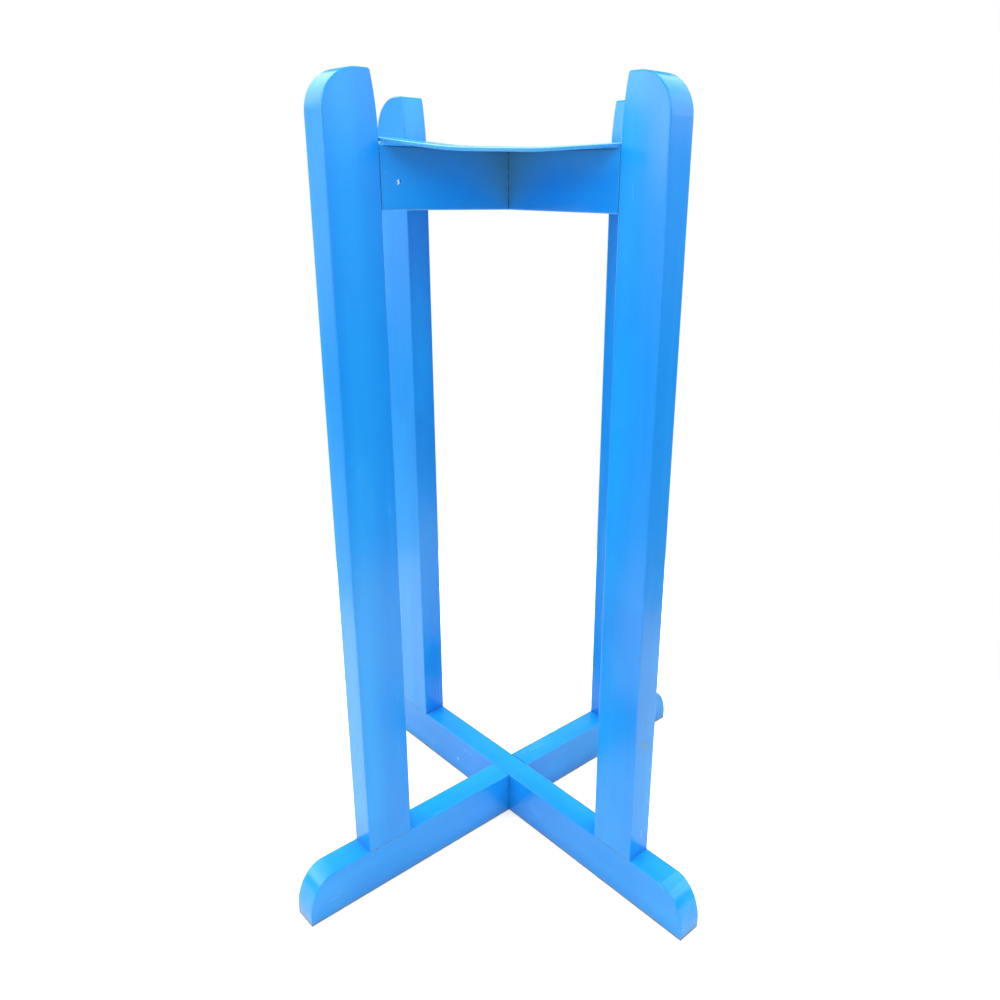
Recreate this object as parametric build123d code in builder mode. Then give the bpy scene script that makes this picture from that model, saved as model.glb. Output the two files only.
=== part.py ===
from build123d import *
from math import cos
from math import radians
from math import sin
import os

# Four-legged floor stand for a water crock, in painted timber.
# Two H-shaped frames, one along X and one along Y, slot together at halving joints
# at foot and top level, and a thin round plate is screwed down over the upper crossing.
# Millimetres, +Z up, origin on the floor under the centre of the crossing.

# Driving dimensions
stand_height = 700
timber_width = 45  # every upright and rail is cut from one section
timber_thickness = 25
clear_span = 270  # between opposite uprights, where the crock stands
foot_length = 485  # a foot rail from tip to tip
seat_level = 650  # top of the upper rails

# Shaping
arris_radius = 1.2
crown_radius = 30  # outer top corner of an upright
crown_inner_radius = 2
flare_depth = 5  # how far an upright's inner edge leans out at the top
flare_height = 48
tip_length = 26.5  # rounding of a foot rail's tip, along the rail
tip_drop = 38  # the same rounding, downwards
pad_depth = 3  # square-edged footprint that an upright stands on

# Joinery
dowel_diameter = 8
dowel_length = 40
dowel_spacing = 21
dowel_chamfer = 1
glue_room = 1  # how much deeper a dowel hole is than the dowel goes

# Round plate, flat in the middle and bent both ways outside it
plate_diameter = 268
plate_thickness = 2.7
plate_arris = 0.4
droop_start = 38  # half-width of the flat middle, towards the two open sides that droop
droop_tilt = 2.9  # degrees
droop_bend = 300
lift_start = 20  # half-width of the flat middle, towards the two open sides that lift
lift_tilts = {45: 3.8, 225: 5.6}  # degrees, by the side's angle
lift_bend = 250

# Screws through the plate
screw_ring_radius = 25
screw_diameter = 3.5
screw_head_diameter = 7
screw_length = 20
screw_point_length = 4
screw_point_diameter = 0.6
screw_slot_length = 4.6
screw_slot_width = 0.9
screw_slot_depth = 1.1

# Worked out from the dimensions above
half_thickness = timber_thickness / 2
inner_radius = clear_span / 2
outer_radius = inner_radius + timber_width
upright_radius = (inner_radius + outer_radius) / 2
top_rail_bottom = seat_level - timber_width
top_rail_middle = seat_level - timber_width / 2
plate_radius = plate_diameter / 2
plate_top = seat_level + plate_thickness
plate_reach = plate_radius + 2 * plate_thickness  # the sheet before it is cut round
screw_head_height = (screw_head_diameter - screw_diameter) / 2

uprights = {"front_right": 0, "back_right": 90, "back_left": 180, "front_left": 270}


def outwards(angle):
    """Level unit vector pointing away from the stand's axis at this angle."""
    return Vector(1, 0, 0).rotate(Axis.Z, angle)


def profile_plane(angle):
    """Upright plane through the axis: local X points outwards at this angle, local Y up."""
    return Plane((0, 0, 0), x_dir=outwards(angle), z_dir=outwards(angle - 90))


def foot_joint(angle):
    """Level plane where an upright stands on its foot rail, facing up."""
    origin = outwards(angle) * upright_radius + Vector(0, 0, timber_width)
    return Plane(origin, x_dir=outwards(angle), z_dir=(0, 0, 1))


def top_joint(angle):
    """Upright plane where a top rail's end meets its upright, facing outwards."""
    origin = outwards(angle) * inner_radius + Vector(0, 0, top_rail_middle)
    return Plane(origin, x_dir=(0, 0, 1), z_dir=outwards(angle))


def sheet_plane(side, run=0, rise=0, tilt=0):
    """Plane across the plate's sheet, facing this side, with its origin on the underside."""
    origin = outwards(side) * run + Vector(0, 0, seat_level + rise)
    facing = outwards(side).rotate(Axis((0, 0, 0), outwards(side - 90)), tilt)
    return Plane(origin, x_dir=outwards(side + 90), z_dir=facing)


def soften_sides(builder, angle, kept_square):
    """Round the edges of the two broad faces of a timber that lies at this angle."""
    across = Axis((0, 0, 0), outwards(angle - 90))
    sides = builder.faces().sort_by(across)
    fillet((sides[0].edges() + sides[-1].edges()) - kept_square, arris_radius)


def bore_dowel_holes(joint):
    """Bore one joint's pair of dowel holes into the face that this plane lies on."""
    with Locations(joint):
        with GridLocations(dowel_spacing, 0, 2, 1):
            Hole(radius=dowel_diameter / 2, depth=dowel_length / 2 + glue_room)


def cut_halving(bottom):
    """Cut half of a crossing joint, from this height up, through the middle of a rail."""
    with Locations((0, 0, bottom + timber_width / 4)):
        Box(timber_thickness, timber_thickness, timber_width / 2, mode=Mode.SUBTRACT)


def save_node(part, name):
    part.label = name
    export_step(part, f"parts/{name}.step")


os.makedirs("parts", exist_ok=True)

# Uprights: rounded outside at the top, with the inner edge leaning out above the plate
for name, angle in uprights.items():
    with BuildPart() as upright:
        with BuildSketch(profile_plane(angle)) as outline:
            with BuildLine():
                flare_foot = (inner_radius, stand_height - flare_height)
                flare_top = (inner_radius + flare_depth, stand_height)
                Polyline(
                    flare_foot,
                    (inner_radius, timber_width),
                    (outer_radius, timber_width),
                    (outer_radius, stand_height),
                    flare_top,
                )
                TangentArc(flare_foot, flare_top, tangent=(0, 1))
            make_face()
            outer_corner = outline.vertices().group_by(Axis.X)[-1].sort_by(Axis.Y)[-1]
            fillet(outer_corner, crown_radius)
            inner_corner = outline.vertices().group_by(Axis.Y)[-1].sort_by(Axis.X)[0]
            fillet(inner_corner, crown_inner_radius)
        extrude(amount=half_thickness, both=True)
        soften_sides(upright, angle, kept_square=upright.edges().group_by(Axis.Z)[0])
        bore_dowel_holes(-foot_joint(angle))
        bore_dowel_holes(-top_joint(angle))
    save_node(upright.part, f"upright_{name}")

# Foot rails: rounded tips, and the rail along X is halved over the one along Y
for name, angle, notch_bottom in [("x", 0, 0), ("y", 90, timber_width / 2)]:
    with BuildPart() as foot_rail:
        with BuildSketch(profile_plane(angle)):
            with BuildLine():
                tip_x = foot_length / 2
                shoulder_x = tip_x - tip_length
                tip_z = timber_width - tip_drop
                Polyline((0, 0), (tip_x, 0), (tip_x, tip_z))
                EllipticalCenterArc((shoulder_x, tip_z), tip_length, tip_drop, arc_size=90)
                Line((shoulder_x, timber_width), (0, timber_width))
                mirror(about=Plane.YZ)
            make_face()
        extrude(amount=half_thickness, both=True)
        soften_sides(foot_rail, angle, kept_square=[])
        cut_halving(notch_bottom)
        for end in (angle, angle + 180):
            with BuildSketch(foot_joint(end)):
                Rectangle(timber_width, timber_thickness)
            extrude(amount=-pad_depth)
            bore_dowel_holes(foot_joint(end))
    save_node(foot_rail.part, f"foot_rail_{name}")

# Top rails: butted between the uprights, and halved like the foot rails
for name, angle, notch_bottom in [("x", 0, top_rail_bottom), ("y", 90, top_rail_middle)]:
    with BuildPart() as top_rail:
        with BuildSketch(top_joint(angle)):
            Rectangle(timber_width, timber_thickness)
        extrude(amount=-clear_span)
        ends = top_rail.faces().filter_by(Axis((0, 0, 0), outwards(angle)))
        soften_sides(top_rail, angle, kept_square=ends.edges())
        cut_halving(notch_bottom)
        bore_dowel_holes(top_joint(angle))
        bore_dowel_holes(top_joint(angle + 180))
        with Locations(Plane.XY.offset(seat_level)):
            with PolarLocations(screw_ring_radius, 2, start_angle=angle):
                Hole(radius=screw_diameter / 2, depth=screw_length - plate_thickness)
    save_node(top_rail.part, f"top_rail_{name}")

# Dowels: a pair in each joint
for name, angle in uprights.items():
    for joint, plane in {"foot": foot_joint(angle), "top": top_joint(angle)}.items():
        with BuildPart(plane) as dowels:
            with GridLocations(dowel_spacing, 0, 2, 1):
                Cylinder(radius=dowel_diameter / 2, height=dowel_length)
            chamfer(dowels.edges().filter_by(GeomType.CIRCLE), dowel_chamfer)
        save_node(dowels.part, f"{joint}_dowels_{name}")

# Round plate: a thin board that has warped. Two opposite open sides droop and the other
# two lift, so the sheet is bent both ways before it is cut round.
with BuildSketch() as sheet_section:
    with BuildLine():
        ends = []
        for level in (0, plate_thickness):
            flat = Line((0, level), (droop_start, level))
            bend = JernArc(flat @ 1, flat % 1, droop_bend + level, -droop_tilt)
            slope = PolarLine(bend @ 1, plate_reach - droop_start, direction=bend % 1)
            ends.append(slope @ 1)
        Line(ends)
        mirror(about=Plane.YZ)
    make_face()

with BuildPart() as seat_plate:
    for side, tilt in lift_tilts.items():
        bend_run = lift_bend * sin(radians(tilt))
        bend_rise = lift_bend * (1 - cos(radians(tilt)))
        bend_centre = outwards(side) * lift_start + Vector(0, 0, seat_level + lift_bend)
        with BuildSketch(sheet_plane(side)):
            add(sheet_section.sketch)
        extrude(amount=lift_start)
        with BuildSketch(sheet_plane(side, lift_start)):
            add(sheet_section.sketch)
        revolve(axis=Axis(bend_centre, outwards(side - 90)), revolution_arc=tilt)
        with BuildSketch(sheet_plane(side, lift_start + bend_run, bend_rise, tilt)):
            add(sheet_section.sketch)
        extrude(amount=plate_reach - lift_start)
    with BuildSketch(Plane.XY.offset(top_rail_bottom)):
        Circle(plate_radius)
    extrude(amount=timber_width * 2, mode=Mode.INTERSECT)
    rim_faces = seat_plate.faces().filter_by(lambda face: face.radius == plate_radius)
    fillet(rim_faces.edges().filter_by(Axis.Z, reverse=True), plate_arris)
    with Locations(Plane.XY.offset(plate_top)):
        with PolarLocations(screw_ring_radius, len(uprights)):
            CounterSinkHole(
                radius=screw_diameter / 2,
                counter_sink_radius=screw_head_diameter / 2,
                depth=plate_thickness,
                counter_sink_angle=90,
            )
save_node(seat_plate.part, "seat_plate")

# Screws that hold the plate down, one into each arm of the top rails
for name, angle in uprights.items():
    head_centre = outwards(angle) * screw_ring_radius + Vector(0, 0, plate_top)
    with BuildPart(Plane(head_centre, x_dir=outwards(angle), z_dir=(0, 0, 1))) as screw:
        with Locations((0, 0, -screw_head_height)):
            Cone(
                bottom_radius=screw_diameter / 2,
                top_radius=screw_head_diameter / 2,
                height=screw_head_height,
                align=(Align.CENTER, Align.CENTER, Align.MIN),
            )
            Cylinder(
                radius=screw_diameter / 2,
                height=screw_length - screw_head_height - screw_point_length,
                align=(Align.CENTER, Align.CENTER, Align.MAX),
            )
        with Locations((0, 0, -screw_length)):
            Cone(
                bottom_radius=screw_point_diameter / 2,
                top_radius=screw_diameter / 2,
                height=screw_point_length,
                align=(Align.CENTER, Align.CENTER, Align.MIN),
            )
        for turn in (0, 90):
            with Locations(Location((0, 0, 0), (0, 0, turn))):
                Box(
                    screw_slot_length,
                    screw_slot_width,
                    2 * screw_slot_depth,
                    mode=Mode.SUBTRACT,
                )
    save_node(screw.part, f"plate_screw_{name}")
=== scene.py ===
from math import pi
from math import radians

import bpy
from mathutils import Euler
from mathutils import Matrix
from mathutils import Vector


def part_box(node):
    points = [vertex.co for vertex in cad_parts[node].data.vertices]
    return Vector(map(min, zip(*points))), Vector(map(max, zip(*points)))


# Looks for the four-legged crock stand: bright blue satin paint on timber, shot on white.
# Metres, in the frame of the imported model: +Z up, the floor at z = 0, the stand's axis at x = y = 0.

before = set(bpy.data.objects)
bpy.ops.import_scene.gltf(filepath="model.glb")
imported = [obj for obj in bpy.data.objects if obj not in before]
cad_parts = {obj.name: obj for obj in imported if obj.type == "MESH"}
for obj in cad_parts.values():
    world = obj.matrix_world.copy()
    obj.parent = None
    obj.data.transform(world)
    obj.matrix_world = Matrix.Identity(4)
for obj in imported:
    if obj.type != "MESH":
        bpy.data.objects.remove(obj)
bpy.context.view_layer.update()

# Places read from the frame
post_low, post_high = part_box("upright_front_right")
half_thickness = post_high.y
inner_radius = post_low.x
outer_radius = post_high.x
post_foot = post_low.z
right_face = half_thickness  # the side of a timber that faces +X or +Y
left_face = -half_thickness  # the side that faces -X or -Y
plate_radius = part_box("seat_plate")[1].x
uprights = {"front_right": "X", "back_right": "Y", "back_left": "X", "front_left": "Y"}
crock_ring_radius = 0.098  # where the rim of a crock's base rests
crock_ring_reach = 0.012  # how far either side of it the plate is rubbed

# Camera
camera_place = Vector((0.5854, -0.5046, 0.6216))
camera_azimuth = radians(46.63)
camera_dip = radians(19.29)
camera_roll = radians(0.85)
camera_lens = 31.15  # millimetres, on a 36 mm sensor
camera_shift = (-0.0475, -0.0080)

# Studio
floor_radius = 0.70
floor_colour = (0.90, 0.82, 0.64)
backdrop_strength = 1.0  # what the camera sees round the floor
room_glow = [  # what the object sees there: sine of the height above the horizon, and strength
    (-1.00, 2.00),
    (-0.45, 0.78),
    (-0.20, 0.22),
    (-0.06, 0.90),
    (0.04, 0.60),
    (0.15, 0.19),
    (0.35, 0.15),
    (0.70, 0.30),
    (1.00, 0.30),
]
room_peak = 2.0
room_lean = (1.20, 0.62)  # the room's share of that glow to the camera's left, and to its right
floor_glow = 0.32  # for the camera alone, so that only a contact shadow is left

# Reach of the wear and dirt from what makes them
arris_reach = 0.0022  # paint pooled or rubbed along an outside edge
corner_shade_reach = 0.030  # painted shade in an inside corner
rail_shade_reach = 0.055  # painted shade on a top rail, close to the plate and the crossing
rail_shade_strength = 0.8  # how much of the paint that painted shade covers
smudges_start = 0.55  # height where the smudges are fewest
smudges_full = 0.10  # and where they are strongest
grime_start = 0.0036  # height where the dirt line at the floor begins
grime_full = 0.0008  # and where it covers the most
seam_width = 0.0006  # either side of a joint line
crossing_width = 0.0008  # the same in the corners of a crossing
cut_width = 0.0005  # the same over the top of the rail that is cut through
rim_width = 0.0016  # of the plate's sawn rim, inwards
top_highlight_width = 0.0030  # of the painted highlight round the plate's upper edge, inwards
top_highlight_rounding = 0.0013  # how softly it turns over that edge

# Noise seeds: the first timber of each kind, and the step to the next
upright_seed = 3
top_rail_seed = 41
foot_rail_seed = 61
seed_step = 7

# Paint and what shows through it, as linear colours
paint_blue = (0.003, 0.272, 0.86)
paint_light = (0.008, 0.338, 0.92)
paint_deep = (0.002, 0.232, 0.79)
paint_thin = (0.060, 0.410, 0.90)
# Painted highlight: pale cyan for the plate's upper edge, as if it caught the light
edge_highlight_blue = (0.280, 0.880, 1.00)
# Darker blue: paint pooled along the arrises, and painted shade in the inside corners
pooled_paint_and_shade = (0.002, 0.165, 0.58)
paint_dull = (0.045, 0.260, 0.62)
rim_blue = (0.090, 0.380, 0.74)
# Painted shade: greyer blue for the top rails under the plate and by the crossing
shade_grey_blue = (0.095, 0.300, 0.37)
seam_dark = (0.010, 0.125, 0.34)
primer = (0.78, 0.86, 0.88)
grime = (0.17, 0.13, 0.09)
beech_light = (0.62, 0.40, 0.22)
beech_dark = (0.40, 0.22, 0.10)
zinc = (0.70, 0.69, 0.64)
tarnish = (0.30, 0.27, 0.22)


# ---------------------------------------------------------------- node helpers


class Tree:
    """The nodes of a material or world, with a short call for each kind used here."""

    def __init__(self, owner):
        owner.use_nodes = True
        self.nodes = owner.node_tree.nodes
        self.links = owner.node_tree.links

    def put(self, socket, value):
        """Link a node's output into a socket, or set the socket to a plain value."""
        if isinstance(value, bpy.types.NodeSocket):
            self.links.new(value, socket)
        elif socket.type == "RGBA":
            socket.default_value = (*value, 1)
        else:
            socket.default_value = value

    def add(self, kind, inputs=(), **settings):
        node = self.nodes.new("ShaderNode" + kind)
        for name, value in settings.items():
            setattr(node, name, value)
        for name, value in dict(inputs).items():
            self.put(node.inputs[name], value)
        return node

    def maths(self, operation, first, second=0.0):
        return self.add("Math", {0: first, 1: second}, operation=operation).outputs[0]

    def times(self, first, second):
        return self.maths("MULTIPLY", first, second)

    def vector(self, operation, first, second):
        inputs = {0: first, 1: second}
        return self.add("VectorMath", inputs, operation=operation).outputs["Vector"]

    def length(self, vector):
        return self.add("VectorMath", {0: vector}, operation="LENGTH").outputs["Value"]

    def dot(self, first, second):
        inputs = {0: first, 1: second}
        return self.add("VectorMath", inputs, operation="DOT_PRODUCT").outputs["Value"]


class Surface(Tree):
    """One material of the stand or its floor."""

    def __init__(self, name):
        self.material = bpy.data.materials.new(name)
        super().__init__(self.material)
        self.shader = self.nodes["Principled BSDF"]
        self.place = self.add("TexCoord").outputs["Object"]
        self.axes = self.add("SeparateXYZ", {0: self.place}).outputs

    def from_axis(self):
        """Distance from the stand's upright axis."""
        return self.length(self.vector("MULTIPLY", self.place, (1, 1, 0)))

    def noise(self, scale, seed, detail=2.0):
        """Noise round 0.5. The scale is in cycles per metre along X, Y and Z."""
        moved = self.vector("ADD", self.place, (seed, seed * 0.7, seed * 1.3))
        scaled = self.vector("MULTIPLY", moved, scale)
        inputs = {"Vector": scaled, "Scale": 1.0, "Detail": detail}
        return self.add("TexNoise", inputs).outputs["Fac"]

    def ramp(self, value, low, high, start=0.0, end=1.0):
        """Smooth step: start where value is at low, end where it is at high."""
        inputs = {
            "Value": value,
            "From Min": low,
            "From Max": high,
            "To Min": start,
            "To Max": end,
        }
        return self.add("MapRange", inputs, interpolation_type="SMOOTHSTEP").outputs[0]

    def mix(self, factor, first, second):
        node = self.add("Mix", data_type="RGBA")
        self.put(node.inputs[0], factor)
        self.put(node.inputs[6], first)
        self.put(node.inputs[7], second)
        return node.outputs[2]

    def edges(self, reach):
        """1 on outside edges, fading to 0 at this distance from them."""
        inputs = {"Distance": reach}
        node = self.add("AmbientOcclusion", inputs, samples=6, inside=True, only_local=True)
        return self.ramp(node.outputs["AO"], 1.0, 0.45)

    def corners(self, reach):
        """1 in inside corners, fading to 0 at this distance from them."""
        node = self.add("AmbientOcclusion", {"Distance": reach}, samples=6)
        return self.ramp(node.outputs["AO"], 0.85, 0.30)

    def seam(self, axis, distance, width):
        """1 on a line at this distance from the middle along an axis, broken up a little."""
        offset = self.maths("SUBTRACT", self.maths("ABSOLUTE", self.axes[axis]), distance)
        line = self.ramp(self.maths("ABSOLUTE", offset), width, width * 0.4)
        breaks = self.ramp(self.noise((260, 260, 260), 1.7), 0.35, 0.60, 0.25, 1)
        return self.times(line, breaks)

    def stroke(self, start, end, width):
        """1 within this distance of the line between two points, with a ragged border."""
        start = Vector(start)
        run = Vector(end) - start
        from_start = self.vector("SUBTRACT", self.place, start)
        share = self.add("Clamp", {0: self.dot(from_start, run / run.length_squared)}).outputs[0]
        along = self.add("VectorMath", {0: run, "Scale": share}, operation="SCALE").outputs["Vector"]
        away = self.length(self.vector("SUBTRACT", from_start, along))
        ragged = self.ramp(self.noise((900, 900, 900), 3.1), 0.3, 0.7, -width * 0.5, width * 0.5)
        return self.ramp(self.maths("ADD", away, ragged), width, width * 0.6)

    def bump(self, height, distance, below=None):
        inputs = {"Height": height, "Distance": distance}
        if below is not None:
            inputs["Normal"] = below
        return self.add("Bump", inputs).outputs["Normal"]

    def finish(self, colour, roughness, normal):
        self.put(self.shader.inputs["Base Color"], colour)
        self.put(self.shader.inputs["Roughness"], roughness)
        self.put(self.shader.inputs["Normal"], normal)
        return self.material


# ---------------------------------------------------------------- paint


def lengthways(axis, along, across):
    """Noise scale for a texture that runs along a timber lying on this axis."""
    return tuple(along if name == axis else across for name in "XYZ")


def brushed_blue(tree, axis, seed, streaks):
    """The paint's own colour: soft bands, cloudy patches and fine brush streaks."""
    bands = tree.noise(lengthways(axis, 1.1, 26), seed)
    clouds = tree.noise((9, 9, 9), seed + 9, 3)
    colour = tree.mix(tree.ramp(bands, 0.35, 0.70), paint_blue, paint_light)
    colour = tree.mix(tree.ramp(clouds, 0.45, 0.80, 0, 0.7), colour, paint_deep)
    return tree.mix(tree.ramp(streaks, 0.50, 0.80, 0, 0.35), colour, paint_light)


def worn_edges(tree, colour, seed):
    """Paint pooled or pulled thin along the arrises, with tiny chips down to the primer."""
    edge = tree.edges(arris_reach)
    colour = tree.mix(tree.times(edge, 0.45), colour, pooled_paint_and_shade)
    pulled = tree.ramp(tree.noise((30, 30, 30), seed + 21), 0.3, 0.7, 0.10, 0.40)
    colour = tree.mix(tree.times(edge, pulled), colour, paint_thin)
    chips = tree.ramp(tree.noise((210, 210, 210), seed + 25, 3), 0.77, 0.80)
    return tree.mix(tree.times(edge, chips), colour, primer)


def smudges(tree, axis, seed):
    """1 on dull handled patches, which gather towards the foot of the stand."""
    patch = tree.ramp(tree.noise(lengthways(axis, 14, 45), seed + 31, 3), 0.50, 0.85)
    return tree.times(patch, tree.ramp(tree.axes["Z"], smudges_start, smudges_full, 0.35, 1))


def floor_grime(tree, colour):
    """A brown line of dirt along the lowest edge."""
    low = tree.ramp(tree.axes["Z"], grime_start, grime_full)
    uneven = tree.ramp(tree.noise((120, 120, 120), 5.3, 3), 0.35, 0.60, 0.2, 0.9)
    return tree.mix(tree.times(low, uneven), colour, grime)


def painted_relief(tree, axis, seed, streaks, hairlines):
    """Normal of the painted face: not quite flat, brushed, and with a fine orange peel."""
    hollows = tree.noise(lengthways(axis, 3, 28), seed + 13, 1)
    peel = tree.noise((620, 620, 620), seed + 17)
    normal = tree.bump(hollows, 0.0006)
    normal = tree.bump(streaks, 0.00003, normal)
    normal = tree.bump(peel, 0.000012, normal)
    return tree.bump(hairlines, -0.00004, normal)


def shaded_corners(tree, colour, rail_shade):
    """Painted shade round the inside corners: greyer blue under the plate on the top rails, darker
    blue elsewhere.
    """
    if rail_shade:
        # painted shade: greyer blue where the plate and the crossing hem the top rails in
        return tree.mix(tree.times(tree.corners(rail_shade_reach), rail_shade), colour, shade_grey_blue)
    # painted shade: darker blue in the inside corners
    return tree.mix(tree.times(tree.corners(corner_shade_reach), 0.55), colour, pooled_paint_and_shade)


def timber_paint(name, axis, seed, seams, strokes, rail_shade):
    """Blue satin paint over planed timber, brushed out along the axis."""
    tree = Surface(name)
    streaks = tree.noise(lengthways(axis, 5, 330), seed + 5, 3)
    hairlines = tree.ramp(tree.noise(lengthways(axis, 9, 800), seed + 41), 0.76, 0.84)
    dull = smudges(tree, axis, seed)

    colour = brushed_blue(tree, axis, seed, streaks)
    colour = worn_edges(tree, colour, seed)
    colour = tree.mix(tree.times(dull, 0.16), colour, paint_thin)
    colour = tree.mix(tree.times(hairlines, 0.20), colour, paint_thin)
    # Painted shade in the inside corners, greyer close to the plate on the top rails
    colour = shaded_corners(tree, colour, rail_shade)
    for make_seam in seams:
        colour = tree.mix(make_seam(tree), colour, seam_dark)
    for start, end, width, shade in strokes:
        colour = tree.mix(tree.stroke(start, end, width), colour, shade)
    colour = floor_grime(tree, colour)

    rough = tree.ramp(streaks, 0.2, 0.8, 0.17, 0.25)
    rough = tree.maths("ADD", rough, tree.times(dull, 0.10))
    return tree.finish(colour, rough, painted_relief(tree, axis, seed, streaks, hairlines))


def post_seam(tree):
    """Where an upright stands on its foot rail."""
    return tree.seam("Z", post_foot, seam_width)


def pad_seam(tree):
    """The same joint, seen on the foot rail's sides just under the upright."""
    middle = (inner_radius + outer_radius) / 2
    reach = (outer_radius - inner_radius) / 2
    off_middle = tree.maths("ABSOLUTE", tree.maths("SUBTRACT", tree.from_axis(), middle))
    return tree.times(post_seam(tree), tree.ramp(off_middle, reach, reach * 0.97))


def crossing_seam(axis, other):
    """Maker of the seam in the inside corners where the rail along this axis crosses the other."""

    def make(tree):
        beside = tree.maths("ABSOLUTE", tree.axes[other])
        on_side = tree.ramp(beside, half_thickness * 0.90, half_thickness * 0.93)
        return tree.times(tree.seam(axis, half_thickness, crossing_width), on_side)

    return make


def crossing_top_seam(tree):
    """The joint lines that cross the top of the rail that is cut through."""
    return tree.seam("Y", half_thickness, cut_width)


# Marks on the paint: where each starts and ends, its half width, and what shows
marks = {
    "upright_front_right": [
        ((0.1491, left_face, 0.6250), (0.1511, left_face, 0.6150), 0.0005, paint_deep),
        ((0.1483, left_face, 0.6252), (0.1500, left_face, 0.6155), 0.0004, paint_thin),
        ((outer_radius, 0.002, 0.0730), (outer_radius, 0.003, 0.0640), 0.0007, paint_thin),
        ((outer_radius, -0.004, 0.168), (outer_radius, 0.003, 0.160), 0.0030, paint_dull),
    ],
    "top_rail_y": [
        ((right_face, -0.1182, 0.6260), (right_face, -0.1190, 0.6242), 0.0009, seam_dark),
        ((right_face, -0.1203, 0.6260), (right_face, -0.1199, 0.6240), 0.0010, primer),
        ((right_face, -0.1304, 0.6315), (right_face, -0.1302, 0.6308), 0.0005, paint_thin),
    ],
    "foot_rail_x": [
        ((0.2140, left_face, 0.0440), (0.2210, left_face, 0.0425), 0.0005, paint_thin),
        ((-0.0754, left_face, 0.0172), (-0.0750, left_face, 0.0166), 0.0008, primer),
    ],
    "foot_rail_y": [
        ((left_face, 0.0740, post_foot), (left_face, 0.0775, post_foot), 0.0014, primer),
    ],
}


# ---------------------------------------------------------------- other materials


def rubbed_ring(tree):
    """1 where the rim of the crock's base has rubbed the plate."""
    offset = tree.maths("ABSOLUTE", tree.maths("SUBTRACT", tree.from_axis(), crock_ring_radius))
    patches = tree.ramp(tree.noise((55, 55, 55), 29, 4), 0.40, 0.65)
    return tree.times(tree.ramp(offset, crock_ring_reach, crock_ring_reach / 6), patches)


def plate_rim(tree, colour):
    """Paler paint soaked into the sawn rim, and a painted highlight of pale cyan rounding over the
    edge above it.
    """
    radius = tree.from_axis()
    rim = tree.ramp(radius, plate_radius - rim_width, plate_radius - rim_width / 4)
    fibres = tree.ramp(tree.noise((60, 60, 1400), 17, 3), 0.30, 0.70, 0.45, 0.85)
    colour = tree.mix(tree.times(rim, fibres), colour, rim_blue)

    # Painted highlight: the edge facing up is coloured pale cyan, standing in for light caught there
    rounded = tree.add("Bevel", {"Radius": top_highlight_rounding}, samples=6).outputs["Normal"]
    upwards = tree.ramp(tree.add("SeparateXYZ", {0: rounded}).outputs["Z"], 0.10, 0.50)
    border = tree.ramp(radius, plate_radius - top_highlight_width, plate_radius - top_highlight_width * 0.4)
    return tree.mix(tree.times(tree.times(upwards, border), 0.9), colour, edge_highlight_blue)


def plate_paint(name):
    """The same blue rolled onto thin board, rubbed in a ring where the crock stands."""
    tree = Surface(name)
    stipple = tree.noise((420, 420, 420), 7, 3)
    clouds = tree.noise((13, 13, 13), 11, 4)
    hairlines = tree.ramp(tree.noise((70, 900, 70), 23), 0.72, 0.80)
    rubbed = rubbed_ring(tree)

    colour = tree.mix(tree.ramp(clouds, 0.35, 0.70), paint_blue, paint_light)
    colour = tree.mix(tree.ramp(stipple, 0.45, 0.80, 0, 0.4), colour, paint_deep)
    colour = tree.mix(tree.times(rubbed, 0.45), colour, paint_thin)
    colour = tree.mix(tree.times(hairlines, 0.25), colour, paint_thin)
    colour = plate_rim(tree, colour)

    rough = tree.ramp(stipple, 0.2, 0.8, 0.20, 0.30)
    rough = tree.maths("ADD", rough, tree.times(rubbed, 0.12))
    normal = tree.bump(tree.noise((24, 24, 24), 31, 1), 0.0003)
    normal = tree.bump(stipple, 0.00003, normal)
    normal = tree.bump(hairlines, -0.00003, normal)
    return tree.finish(colour, rough, normal)


def dowel_wood(name, grain):
    """Plain beech, with its figure and flecks along the dowel. The grain is the noise scale."""
    tree = Surface(name)
    figure = tree.noise(grain, 3, 4)
    flecks = tree.ramp(tree.noise(tuple(3 * part for part in grain), 9), 0.60, 0.72)
    colour = tree.mix(tree.ramp(figure, 0.30, 0.70), beech_light, beech_dark)
    colour = tree.mix(tree.times(flecks, 0.6), colour, beech_dark)
    rough = tree.ramp(figure, 0.3, 0.7, 0.55, 0.70)
    return tree.finish(colour, rough, tree.bump(figure, 0.0001))


def screw_steel(name):
    """Zinc-plated steel, dulled in the slots and lightly scratched by the driver."""
    tree = Surface(name)
    patches = tree.noise((600, 600, 600), 5, 4)
    scratches = tree.ramp(tree.noise((300, 5200, 900), 13), 0.62, 0.74)
    colour = tree.mix(tree.ramp(patches, 0.40, 0.75, 0, 0.5), zinc, tarnish)
    colour = tree.mix(tree.times(tree.corners(0.0015), 0.8), colour, tarnish)
    tree.put(tree.shader.inputs["Metallic"], 1.0)
    rough = tree.maths("ADD", tree.ramp(patches, 0.3, 0.7, 0.26, 0.42), tree.times(scratches, 0.1))
    return tree.finish(colour, rough, tree.bump(scratches, -0.00002))


def dress(node, material):
    """Give a CAD node this material alone."""
    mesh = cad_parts[node].data
    mesh.materials.clear()
    mesh.materials.append(material)


def dress_timber(node, axis, seed, seams, rail_shade=0.0):
    """Give a timber that lies on this axis its own paint, with the marks that it has."""
    dress(node, timber_paint("paint_" + node, axis, seed, seams, marks.get(node, ()), rail_shade))


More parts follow.
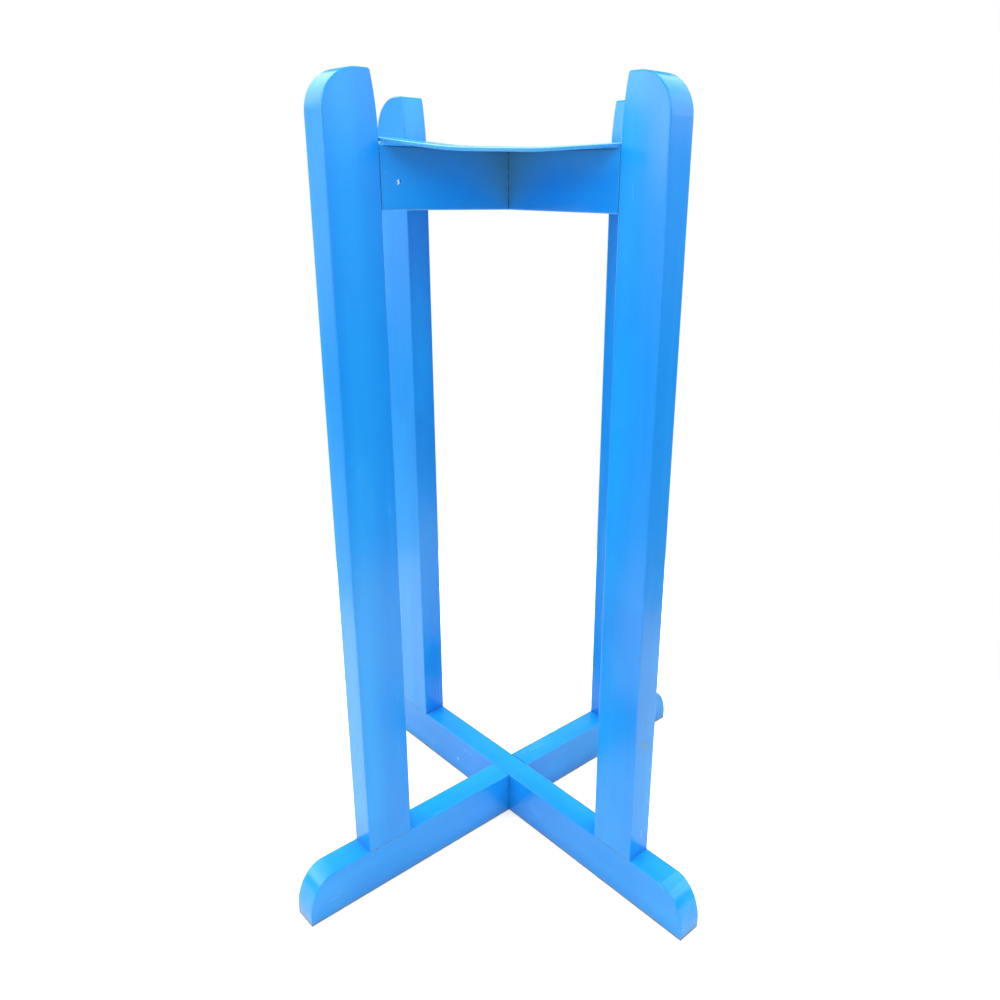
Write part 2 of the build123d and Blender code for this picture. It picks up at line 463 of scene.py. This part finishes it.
def dress_timbers():
    for turn, name in enumerate(uprights):
        dress_timber("upright_" + name, "Z", upright_seed + seed_step * turn, [post_seam])
    for turn, (axis, other) in enumerate((("X", "Y"), ("Y", "X"))):
        step = seed_step * turn
        seams = [crossing_seam(axis, other)]
        dress_timber("top_rail_" + axis.lower(), axis, top_rail_seed + step, seams, rail_shade_strength)
        seams.append(pad_seam)
        if axis == "Y":
            seams.append(crossing_top_seam)
        dress_timber("foot_rail_" + axis.lower(), axis, foot_rail_seed + step, seams)


def dress_fittings():
    dress("seat_plate", plate_paint("paint_seat_plate"))
    upright_beech = dowel_wood("beech_upright", lengthways("Z", 60, 900))
    level_beech = {
        "X": dowel_wood("beech_x", lengthways("X", 60, 900)),
        "Y": dowel_wood("beech_y", lengthways("Y", 60, 900)),
    }
    steel = screw_steel("screw_steel")
    for name, axis in uprights.items():
        dress("foot_dowels_" + name, upright_beech)
        dress("top_dowels_" + name, level_beech[axis])
        dress("plate_screw_" + name, steel)


# ---------------------------------------------------------------- studio


def make_camera():
    data = bpy.data.cameras.new("camera")
    data.sensor_width = 36
    data.lens = camera_lens
    data.shift_x, data.shift_y = camera_shift
    data.clip_start = 0.01
    camera = bpy.data.objects.new("camera", data)
    bpy.context.scene.collection.objects.link(camera)
    turn = Euler((pi / 2 - camera_dip, 0, camera_azimuth)).to_matrix()
    turn = turn @ Matrix.Rotation(camera_roll, 3, "Z")
    camera.matrix_world = Matrix.Translation(camera_place) @ turn.to_4x4()
    bpy.context.scene.camera = camera


def make_floor():
    tree = Surface("floor")
    tree.put(tree.shader.inputs["Base Color"], floor_colour)
    tree.put(tree.shader.inputs["Roughness"], 0.9)
    tree.put(tree.shader.inputs["Specular IOR Level"], 0.1)
    tree.put(tree.shader.inputs["Emission Color"], (1, 1, 1))
    seen = tree.add("LightPath").outputs["Is Camera Ray"]
    tree.put(tree.shader.inputs["Emission Strength"], tree.times(seen, floor_glow))
    bpy.ops.mesh.primitive_circle_add(vertices=96, radius=floor_radius, fill_type="NGON")
    floor = bpy.context.object
    floor.name = "floor"
    floor.data.materials.append(tree.material)


def glow_by_height(tree, direction):
    """Strength of the room's glow, from its height above or below the horizon."""
    height = tree.add("SeparateXYZ", {0: direction}).outputs["Z"]
    share = tree.add("MapRange", {"Value": height, "From Min": -1}).outputs[0]
    glow = tree.add("ValToRGB", {"Fac": share})
    stops = glow.color_ramp.elements
    for _ in range(len(room_glow) - 2):
        stops.new(0.5)
    for stop, (rise, strength) in zip(stops, room_glow):
        shade = strength / room_peak
        stop.position = (rise + 1) / 2
        stop.color = (shade, shade, shade, 1)
    return tree.times(glow.outputs["Color"], room_peak)


def lean_by_side(tree, direction):
    """The room's share of that glow, which falls from the camera's left to its right."""
    right = Matrix.Rotation(camera_azimuth, 3, "Z") @ Vector((1, 0, 0))
    left_share, right_share = room_lean
    inputs = {
        "Value": tree.dot(direction, right),
        "From Min": -1,
        "To Min": left_share,
        "To Max": right_share,
    }
    return tree.add("MapRange", inputs).outputs[0]


def make_room():
    """White all round for the camera. The object sees a dim room, bright at eye level and below."""
    world = bpy.data.worlds.new("room")
    bpy.context.scene.world = world
    tree = Tree(world)
    direction = tree.add("TexCoord").outputs["Generated"]
    seen = tree.add("LightPath").outputs["Is Camera Ray"]
    glow = tree.times(glow_by_height(tree, direction), lean_by_side(tree, direction))
    strength = tree.add("Mix", {"Factor": seen, "A": glow, "B": backdrop_strength})
    background = tree.nodes["Background"]
    tree.put(background.inputs["Color"], (1, 1, 1))
    tree.put(background.inputs["Strength"], strength.outputs["Result"])


def make_softbox(name, place, aim, size, power):
    """Area light of this many watts, which the camera doesn't see directly."""
    data = bpy.data.lights.new(name, "AREA")
    data.shape = "RECTANGLE"
    data.size, data.size_y = size
    data.energy = power
    light = bpy.data.objects.new(name, data)
    bpy.context.scene.collection.objects.link(light)
    place = Vector(place)
    turn = (Vector(aim) - place).to_track_quat("-Z", "Y").to_matrix()
    light.matrix_world = Matrix.Translation(place) @ turn.to_4x4()
    light.visible_camera = False
    return light


def light_the_room():
    """Light from overhead and over the camera, with fainter boxes all round to show in the paint."""
    middle = (0, 0, 0.40)
    high = (0, 0, 0.60)
    make_softbox("key", (1.45, -1.40, 1.75), middle, (1.6, 1.2), 22)
    make_softbox("front", (1.50, -1.50, 0.55), high, (1.4, 0.8), 4)
    top = make_softbox("top", (0, 0, 3.2), middle, (2.6, 2.6), 138)
    top.visible_glossy = False  # its reflection would wash out the plate
    make_softbox("left", (-1.15, -1.65, 1.25), high, (1.3, 1.2), 15.5)
    make_softbox("far_left", (-1.97, -0.30, 1.50), high, (1.8, 1.0), 10.5)
    make_softbox("right", (1.5, 1.2, 1.35), high, (1.6, 1.2), 12)
    make_softbox("far_right", (0.05, 1.50, 1.70), high, (1.5, 0.7), 5)
    back = make_softbox("back", (-1.15, 1.10, 0.60), high, (1.4, 0.6), 5)
    back.visible_diffuse = False  # a gleam on the far faces, and nothing more


# ---------------------------------------------------------------- the stand

dress_timbers()
dress_fittings()
make_camera()
make_floor()
make_room()
light_the_room()
bpy.context.scene.view_settings.view_transform = "Standard"
